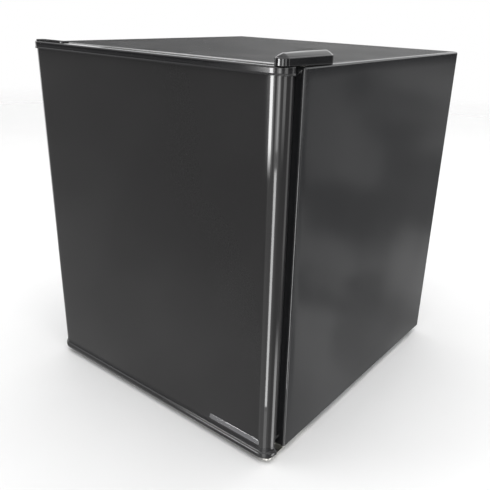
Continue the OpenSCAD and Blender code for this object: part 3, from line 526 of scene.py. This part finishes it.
# ---------------------------------------------------------------- door skin: one sheet wrapped round both upright edges
def door_skin():
    x1, y0, y1 = dp1.x, dp0.y, dp1.y
    r = 17.0
    z0, z1 = dp0.z, dp1.z

    def path(d):
        """Outline d inside the outer face: left corner, flat front, right corner."""
        rr = r - d
        a0 = 180 + math.degrees(math.asin((y0 + r - y1) / rr))
        left = arc(-x1 + r, y0 + r, rr, a0, 270, 20)
        nf = 40
        flat = [(-x1 + r + (2 * x1 - 2 * r) * i / nf, y0 + d) for i in range(1, nf)]
        return left + flat + [(-x, y) for x, y in reversed(left)], [0] * 21 + [1] * (nf - 1) + [0] * 21

    nz = 44
    zs = [z0 + (z1 - z0) * i / nz for i in range(nz + 1)]
    verts, wear = [], []
    for d in (0.0, T):
        pts, tag = path(d)
        for z in zs:
            for (x, y), t in zip(pts, tag):
                h = 0.0
                if t and d == 0:
                    h = 0.22 * (1 + wobble(x, z, 0.6)) * fade(x, -x1 + r, x1 - r, 50) * fade(z, z0, z1, 60)
                verts.append((x, y + h, z)), wear.append(0.15)
    cols = len(path(0)[0])
    n = (nz + 1) * cols
    f = grid_faces(nz + 1, cols)
    g = [[n + i for i in q][::-1] for q in f]
    rim = []
    for j in range(cols - 1):
        rim.append([j + 1, j, n + j, n + j + 1])
        a = nz * cols
        rim.append([a + j, a + j + 1, n + a + j + 1, n + a + j])
    for i in range(nz):
        a, b = i * cols, (i + 1) * cols
        rim.append([a, b, n + b, n + a])
        a, b = a + cols - 1, b + cols - 1
        rim.append([b, a, n + a, n + b])
    ob = make("door_skin", verts, f + g + rim, "door_paint", wear=wear)
    fix_normals(ob)
    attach(ob, "door")
    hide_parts("door_outer_panel")
    for s in (-1, 1):
        xa, xb = sorted((s * (x1 - 13.5), s * (x1 - T - 0.05)))
        q = prism("door_return_%s" % ("left" if s < 0 else "right"), [(xa, y1 - T), (xb, y1 - T), (xb, y1), (xa, y1)], z0, z1, "door_paint", body="door")
        bevelled(q, 0.25, 2)
    return ob


door_skin()


# ---------------------------------------------------------------- end caps
def side_arc(cx, cy, r, rear, n):
    """Left-hand corner of an end cap from its rear edge to the flat front, always n + 2 points."""
    if rear > cy + 1e-6:
        return [(cx - r, rear)] + arc(cx, cy, r, 180, 270, n)
    return arc(cx, cy, r, 180 + math.degrees(math.asin((cy - rear) / r)), 270, n + 1)


def cap_outline(i, rear, n=16):
    left = side_arc(-HW + 19.5, YF + 19.5, 19.5 - i, rear, n)
    return left + [(-x, y) for x, y in reversed(left)]


def stack(name, rings, slot, **kw):
    """Closed loft through outlines of the same length, each at its own height."""
    n = len(rings[0][0])
    v = [(x, y, z) for pts, z in rings for x, y in pts]
    f = grid_faces(len(rings), n, close_c=True)
    f.append(list(range(n))[::-1])
    f.append([(len(rings) - 1) * n + k for k in range(n)])
    return make(name, v, f, slot, **kw)


def end_caps():
    # top cap: flared lower lip that catches light from above, plain band, softly rounded upper edge
    zt, zb = tc1.z, tc0.z
    sec = [(1.0, zb), (0.3, zb + 0.05), (0.0, zb + 0.35), (0.02, zb + 0.75), (0.14, zb + 1.25), (0.34, zb + 1.8), (0.52, zb + 2.35), (0.6, zb + 2.9),
           (0.58, zb + 3.6), (0.5, zt - 2.4), (0.56, zt - 1.7), (0.78, zt - 1.0), (1.15, zt - 0.45), (1.65, zt - 0.12), (2.3, zt)]
    rings = [(cap_outline(i, DR - 0.4 * i), z) for i, z in sec]
    top = stack("door_cap_top", rings, "cap_plastic")
    fix_normals(top)
    cutters = [prism("c1", rrect(-HW + 149, YF + 4.6, HW - 19, YF + 11.6, 3, 8), zt - 4.0, zt + 3, "cap_plastic"),
               prism("c2", rrect(-HW + 149, YF + 13.4, HW - 19, YF + 16.2, 1.3, 8), zt - 0.9, zt + 3, "cap_plastic"),
               prism("c3", rrect(HW - 11 - 5.05, DR - 7 - 5.05 , HW - 11 + 5.05, DR - 7 + 5.05, 5.04, 8), zt - 8, zt + 3, "cap_plastic")]
    cutters.append(prism("c4", cap_outline(2.6, DR - 1.8), zb - 2, zt - 6.1, "cap_plastic"))
    cut_by(top, cutters)
    bevelled(top, 0.35, 2, 40)
    bake(top, cutters)
    top.data.shade_smooth()
    top.data.set_sharp_from_angle(angle=math.radians(40))
    # bottom cap: dark groove under the panel, then a chamfer that faces up and a deep plain band
    zt, zb = bc1.z, bc0.z
    sec = [(2.4, zb), (1.3, zb + 0.1), (0.6, zb + 0.5), (0.25, zb + 1.2), (0.05, zb + 2.2), (0.0, zb + 3.4), (0.0, zb + 6.3), (0.06, zb + 6.7),
           (0.22, zb + 7.1), (0.48, zb + 7.5), (0.82, zb + 7.85), (1.2, zb + 8.15), (1.6, zb + 8.4), (2.0, zb + 8.6), (2.3, zb + 9.2), (2.3, zt)]
    rings = [(cap_outline(i, DR - 0.4 * i), z) for i, z in sec]
    bot = stack("door_cap_bottom", rings, "cap_plastic")
    fix_normals(bot)
    cutters = [prism("c5", cap_outline(3.3, DR - 2.4), zb + 7.1, zt + 2, "cap_plastic"),
               prism("c6", rrect(HW - 11 - 5.05, DR - 7 - 5.05, HW - 11 + 5.05, DR - 7 + 5.05, 5.04, 8), zb - 2, zb + 8, "cap_plastic")]
    cut_by(bot, cutters)
    bake(bot, cutters)
    bot.data.shade_smooth()
    bot.data.set_sharp_from_angle(angle=math.radians(40))
    for ob, n in ((top, "door_top_cap"), (bot, "door_bottom_cap")):
        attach(ob, "door")
        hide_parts(n)
        give(ob, "cap_plastic")


end_caps()


# ---------------------------------------------------------------- hinge cover
def hinge_cover():
    circles = [(HW - 9.2, YF + 9.2, 9.1), (HW - 10.1, YC + 40, 10.0), (HW - 17, YC + 50, 17.0), (HW - 36, YC + 54, 13.0)]
    n = 120
    base = []
    for k in range(n):
        a = 2 * math.pi * k / n
        u = (math.cos(a), math.sin(a))
        best = max(circles, key=lambda c: c[0] * u[0] + c[1] * u[1] + c[2])
        base.append((best, u))

    def ring(i):
        return [(c[0] + (c[2] - i) * u[0], c[1] + (c[2] - i) * u[1]) for c, u in base]

    zt = hc1.z
    fr = 1.3
    rows = []
    for i, h in [(0.5, 0.0), (0.1, 0.3), (0.05, 0.8), (0.1, 2.0), (0.2, 3.2)]:
        pts = []
        for x, y in ring(i):
            t = max(0.0, min(1.0, (y - (YC - 1.5)) / 3.0))
            z = (Z1 + 2.0) * (1 - t) + (Z1 + 0.06) * t
            if y > YC:
                z += h
            else:
                z += h * 0.8
            pts.append((x, y, z))
        rows.append(pts)
    drop = 1.15
    for a in range(0, 79, 13):
        i = 0.3 + fr * (1 - math.cos(math.radians(a)))
        z = zt - drop - fr + fr * math.sin(math.radians(a))
        rows.append([(x, y, z) for x, y in ring(i)])
    # the top is domed: it rises from the rim to a soft ridge over the pin and the screws
    for k in range(1, 13):
        i = 1.2 + 8.2 * k / 12
        h = -1.05 + 4.4 * (1 - (1 - k / 12) ** 1.5)
        rows.append([(x, y, zt + h) for x, y in ring(i)])
    # inner walls, so the cover is a real shell from below
    v = [p for r in rows for p in r]
    f = grid_faces(len(rows), n, close_c=True)
    f.append([(len(rows) - 1) * n + k for k in range(n)])
    inner = []
    for i, z in ((2.2, None), (2.2, zt - 2.0)):
        pts = []
        for x, y in ring(i):
            t = max(0.0, min(1.0, (y - (YC - 1.5)) / 3.0))
            z_low = (Z1 + 2.0) * (1 - t) + (Z1 + 0.06) * t
            pts.append((x, y, z_low if z is None else z))
        inner.append(pts)
    b = len(v)
    v += [p for r in inner for p in r]
    for k in range(n):
        k2 = (k + 1) % n
        f.append([k2, k, b + k, b + k2])
        f.append([b + k2, b + k, b + n + k, b + n + k2])
    f.append([b + n + k for k in range(n)][::-1])
    ob = make("hinge_cap", v, f, "cap_plastic", wear=[0.6] * len(v))
    fix_normals(ob)
    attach(ob, "cabinet")
    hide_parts("hinge_cover")


hinge_cover()


# ---------------------------------------------------------------- door seal: bellows in section, mitred round the door
def seal():
    x1, z0, z1 = ga1.x, ga0.z, ga1.z
    yb_, yf_ = ga1.y, ga0.y
    L = yb_ - yf_
    # closed section as (inset from the outside, fraction of the depth from the door)
    sec = [(1.0, 0.0), (1.0, 0.14), (2.2, 0.18), (5.0, 0.20), (6.4, 0.26), (4.6, 0.33), (2.6, 0.37), (2.6, 0.40), (4.8, 0.44),
           (5.8, 0.50), (4.0, 0.57), (1.2, 0.62), (0.1, 0.67), (0.0, 0.72), (0.0, 0.93), (0.4, 0.98), (1.2, 1.0), (17.0, 1.0),
           (17.8, 0.98), (18.0, 0.94), (18.0, 0.74), (17.2, 0.68), (14.2, 0.62), (12.4, 0.56), (13.6, 0.50), (14.6, 0.44), (12.6, 0.38),
           (11.8, 0.32), (13.4, 0.26), (15.4, 0.20), (16.0, 0.14), (16.0, 0.0)]
    verts, n = [], None
    for o, q in sec:
        pts = rrect(-x1 + o, z0 + o, x1 - o, z1 - o, max(7 - o * 0.35, 1.2), 5)
        n = len(pts)
        verts += [(x, yf_ + L * q, z) for x, z in pts]
    f = grid_faces(len(sec), n, close_r=True, close_c=True)
    ob = make("seal_bellows", verts, f, "seal_vinyl", smooth=50)
    fix_normals(ob)
    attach(ob, "door")
    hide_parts("door_gasket")


seal()


# ---------------------------------------------------------------- plain badge, no lettering
def badge():
    b0, b1 = lo("door_badge"), hi("door_badge")
    o = prism("badge_bar", rrect(b0.x, b0.z, b1.x, b1.z, 2.0, 6), b0.y, b1.y, "badge_metal", plane="xz")
    fix_normals(o)
    bevelled(o, 0.25, 3, 30)
    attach(o, "door")
    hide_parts("door_badge")


badge()

# ---------------------------------------------------------------- the CAD nodes that stay: real edges and their own material
soft_edge = {
    "inner_liner": 1.0, "door_liner": 1.0, "ice_box_frame": 0.8, "ice_box_flap": 0.6, "drip_tray": 0.5, "tray_rails": 0.4,
    "bottle_rack": 0.5, "upper_rack": 0.5, "thermostat_housing": 0.9, "thermostat_knob": 0.35, "relay_cover": 1.0,
    "compressor_plate": 0.25, "base_pan": 0.25, "niche_panel": 0.25, "top_hinge_bracket": 0.3, "lower_hinge_bracket": 0.3,
    "front_foot_left": 0.4, "front_foot_right": 0.4, "rear_feet": 0.4, "condenser_brackets": 0.4, "hinge_hole_plug": 0.3,
    "compressor_bolts": 0.2, "rear_screws": 0.12, "hinge_screws": 0.15, "hinge_pins": 0.25, "cord_gland": 0.35,
    "compressor_grommets": 0.4, "evaporator_hangers": 0.3, "foot_nuts": 0.2, "hinge_washer": 0.1,
}
for name, ob in nodes.items():
    give(ob, slot_of[name])
    ob.data.shade_smooth()
    w = ob.modifiers.new("weld", "WELD")
    w.merge_threshold = 2e-6
    if name in soft_edge:
        b = ob.modifiers.new("bevel", "BEVEL")
        b.width = soft_edge[name] * MM
        b.segments = 2
        b.limit_method = "ANGLE"
        b.angle_limit = math.radians(40)
        b.harden_normals = False
        b.use_clamp_overlap = True
    else:
        e = ob.modifiers.new("split", "EDGE_SPLIT")
        e.split_angle = math.radians(36)
        e.use_edge_sharp = False
    n = ob.modifiers.new("normals", "WEIGHTED_NORMAL")
    n.mode = "FACE_AREA"
    n.weight = 100
    n.keep_sharp = True

# ---------------------------------------------------------------- stage
def stage():
    n, R = 96, 9.0
    v = [(0, 0, 0)]
    rings = [0.5, 1.0, 2.0, 3.5, 5.5, R]
    for r in rings:
        v += [(r * math.cos(2 * math.pi * k / n), r * math.sin(2 * math.pi * k / n), 0) for k in range(n)]
    f = [[0, 1 + k, 1 + (k + 1) % n] for k in range(n)]
    for j in range(len(rings) - 1):
        f += [[1 + j * n + k, 1 + (j + 1) * n + k, 1 + (j + 1) * n + (k + 1) % n, 1 + j * n + (k + 1) % n] for k in range(n)]
    me = bpy.data.meshes.new("floor")
    me.from_pydata(v, [], f)
    ob = bpy.data.objects.new("floor", me)
    ob.location.z = -0.0004
    scene.collection.objects.link(ob)
    m = Mat("floor_pale")
    dist = m.node("ShaderNodeVectorMath", operation="LENGTH")
    m.link(m.co.outputs["Object"], dist.inputs[0])
    m.set(base=m.ramp(m.noise(3, 3), [(0.3, (0.80, 0.80, 0.80)), (0.7, (0.83, 0.83, 0.83))]), rough=0.6, spec=0.2)
    clear = m.node("ShaderNodeBsdfTransparent")
    mixer = m.node("ShaderNodeMixShader")
    m.link(m.map_range(dist.outputs["Value"], 1.0, 3.6, 0.0, 1.0), mixer.inputs[0])
    m.link(m.p.outputs[0], mixer.inputs[1])
    m.link(clear.outputs[0], mixer.inputs[2])
    m.link(mixer.outputs[0], m.t.nodes["Material Output"].inputs["Surface"])
    me.materials.append(m.m)

    ob.visible_glossy = False
    # a bright reflector card on the floor beside the hinge corner, seen only in the gloss
    def card(name, az0, az1, r0, r1, power, z):
        k = 10
        pts = [(r * math.sin(math.radians(az0 + (az1 - az0) * q / k)), -r * math.cos(math.radians(az0 + (az1 - az0) * q / k)), 0) for r in (r0, r1) for q in range(k + 1)]
        cm = bpy.data.meshes.new(name)
        cm.from_pydata(pts, [], grid_faces(2, k + 1))
        co_ = bpy.data.objects.new(name, cm)
        co_.location = ((HW - 17) * MM, (YF + 18) * MM, z)
        scene.collection.objects.link(co_)
        em = Mat(name + "_glow")
        em.set(base=(0, 0, 0), rough=1.0, spec=0.0)
        em.p.inputs["Emission Color"].default_value = (1, 1, 1, 1)
        em.p.inputs["Emission Strength"].default_value = power
        cm.materials.append(em.m)
        for flag in ("visible_camera", "visible_diffuse", "visible_transmission", "visible_volume_scatter", "visible_shadow"):
            setattr(co_, flag, False)

    card("card_wide", 16, 46, 0.12, 1.8, 1.8, 0.0006)
    card("card_core", 22, 39, 0.13, 1.5, 11.0, 0.0010)
    w = bpy.data.worlds.new("studio")
    scene.world = w
    w.use_nodes = True
    w.cycles.sampling_method = "NONE"
    t = w.node_tree

    def put(sock, v):
        if isinstance(v, (int, float)):
            sock.default_value = v
        else:
            t.links.new(v, sock)

    def op(kind, a, b=0.0):
        n = t.nodes.new("ShaderNodeMath")
        n.operation = kind
        put(n.inputs[0], a)
        put(n.inputs[1], b)
        return n.outputs[0]

    def step(v, a, b, c=0.0, d=1.0):
        n = t.nodes.new("ShaderNodeMapRange")
        n.interpolation_type = "SMOOTHSTEP"
        for k, x in zip(("Value", "From Min", "From Max", "To Min", "To Max"), (v, a, b, c, d)):
            put(n.inputs[k], x)
        return n.outputs["Result"]

    def span(v, a, b, w0, w1):
        return op("MULTIPLY", step(v, a - w0 / 2, a + w0 / 2), step(v, b - w1 / 2, b + w1 / 2, 1.0, 0.0))

    def panel(az0, az1, el0, el1, power, wa=3.0, we=3.0):
        """One soft light panel of the studio, as seen in reflections."""
        return op("MULTIPLY", op("MULTIPLY", span(az, az0, az1, wa, wa), span(el, el0, el1, we, we)), power)

    co = t.nodes.new("ShaderNodeTexCoord")
    sep = t.nodes.new("ShaderNodeSeparateXYZ")
    t.links.new(co.outputs["Generated"], sep.inputs[0])
    az = op("MULTIPLY", op("ARCTAN2", sep.outputs[0], op("MULTIPLY", sep.outputs[1], -1.0)), 57.2958)
    el = op("MULTIPLY", op("ARCSINE", sep.outputs[2]), 57.2958)
    cloud = t.nodes.new("ShaderNodeTexNoise")
    cloud.inputs["Scale"].default_value = 5.0
    cloud.inputs["Detail"].default_value = 3.0
    t.links.new(co.outputs["Generated"], cloud.inputs["Vector"])
    fine = t.nodes.new("ShaderNodeTexNoise")
    fine.inputs["Scale"].default_value = 9.0
    fine.inputs["Detail"].default_value = 2.0
    t.links.new(co.outputs["Generated"], fine.inputs["Vector"])
    low = step(el, -4.0, -34.0, 0.34, 0.52)
    low = op("MULTIPLY", low, step(cloud.outputs["Fac"], 0.3, 0.7, 0.88, 1.12))
    # the room on the right is busier: soft blotches
    busy = op("MULTIPLY", step(az, 100.0, 135.0), step(el, -40.0, -24.0, 0.25, 1.0))
    low = op("MULTIPLY", low, op("ADD", 1.0, op("MULTIPLY", busy, step(fine.outputs["Fac"], 0.40, 0.62, -0.42, 0.30))))
    # a darker belt at eye level, darkest behind and to the left
    behind = step(az, -156.0, -128.0, 0.35, 0.72)
    belt = op("SUBTRACT", 1.0, op("MULTIPLY", span(el, -4.0, 9.0, 5.0, 4.0), behind))
    high = op("MULTIPLY", step(el, 6.0, 11.0), step(op("ABSOLUTE", az), 90.0, 135.0, 0.55, 1.55))
    high = op("MULTIPLY", high, step(el, 15.0, 24.0, 1.0, 0.55))
    high = op("ADD", high, op("MULTIPLY", step(el, 22.0, 34.0, 0.0, 1.2), step(op("ABSOLUTE", az), 70.0, 100.0, 1.0, 0.0)))
    total = op("ADD", op("MULTIPLY", low, belt), high)
    # narrow strip lamps with softer surrounds, then the smaller glints of the room
    for p in ((-33, -11, -14, 6, 17, 4, 4), (-35, 0, -14, 8, 3, 3, 4), (16, 46, -34, -13, 0.8, 6, 8),
              (16, 44, -14, 8, 2.5, 6, 8), (26, 38, -14, 8, 3.5, 6, 8), (18, 44, -60, -34, 1.5, 6, 5),
              (92, 116, -46, -32, 4, 10, 6), (64, 84, -12, 20, 2.5, 8, 8), (118, 132, -24, 12, 1.2, 8, 8),
              (-98, -84, -20, 26, 2, 8, 8), (-158, -118, 27, 50, 2.6, 8, 7)):
        total = op("ADD", total, panel(*p))
    halo = op("MULTIPLY", op("MULTIPLY", span(az, -28, 60, 10, 30), span(el, -50, 26, 20, 20)), 0.45)
    total = op("ADD", total, halo)

    def emit(value):
        n = t.nodes.new("ShaderNodeBackground")
        put(n.inputs["Strength"], value)
        n.inputs["Color"].default_value = (1, 1, 1, 1)
        return n.outputs[0]

    soft = step(sep.outputs[2], -0.2, 0.9, 0.34, 0.62)
    lp = t.nodes.new("ShaderNodeLightPath")
    m1, m2 = t.nodes.new("ShaderNodeMixShader"), t.nodes.new("ShaderNodeMixShader")
    t.links.new(lp.outputs["Is Glossy Ray"], m1.inputs[0])
    t.links.new(emit(soft), m1.inputs[1])
    t.links.new(emit(total), m1.inputs[2])
    t.links.new(lp.outputs["Is Camera Ray"], m2.inputs[0])
    t.links.new(m1.outputs[0], m2.inputs[1])
    t.links.new(emit(1.0), m2.inputs[2])
    t.nodes.remove(t.nodes["Background"])
    t.links.new(m2.outputs[0], t.nodes["World Output"].inputs["Surface"])

    def area(name, loc, target, size, power, color=(1, 1, 1)):
        d = bpy.data.lights.new(name, "AREA")
        d.shape = "RECTANGLE"
        d.size, d.size_y = size
        d.energy = power
        d.color = color
        o = bpy.data.objects.new(name, d)
        scene.collection.objects.link(o)
        o.location = loc
        o.rotation_euler = (Vector(target) - Vector(loc)).to_track_quat("-Z", "Y").to_euler()
        o.visible_camera = False
        o.visible_glossy = False
        return o

    area("overhead", (0.2, -0.3, 3.0), (0, 0, 0), (3.2, 3.2), 75)
    area("key_left", (-2.4, -1.8, 1.9), (0, 0, 0.25), (1.8, 1.4), 24)
    area("fill_right", (2.6, -0.4, 1.7), (0, 0, 0.25), (1.6, 1.4), 10)
    area("rear", (0.4, 2.6, 2.0), (0, 0, 0.25), (2.0, 1.2), 18)


stage()
scene.view_settings.view_transform = "Standard"
scene.view_settings.look = "None"
scene.view_settings.exposure = 0.0
scene.view_settings.gamma = 1.0
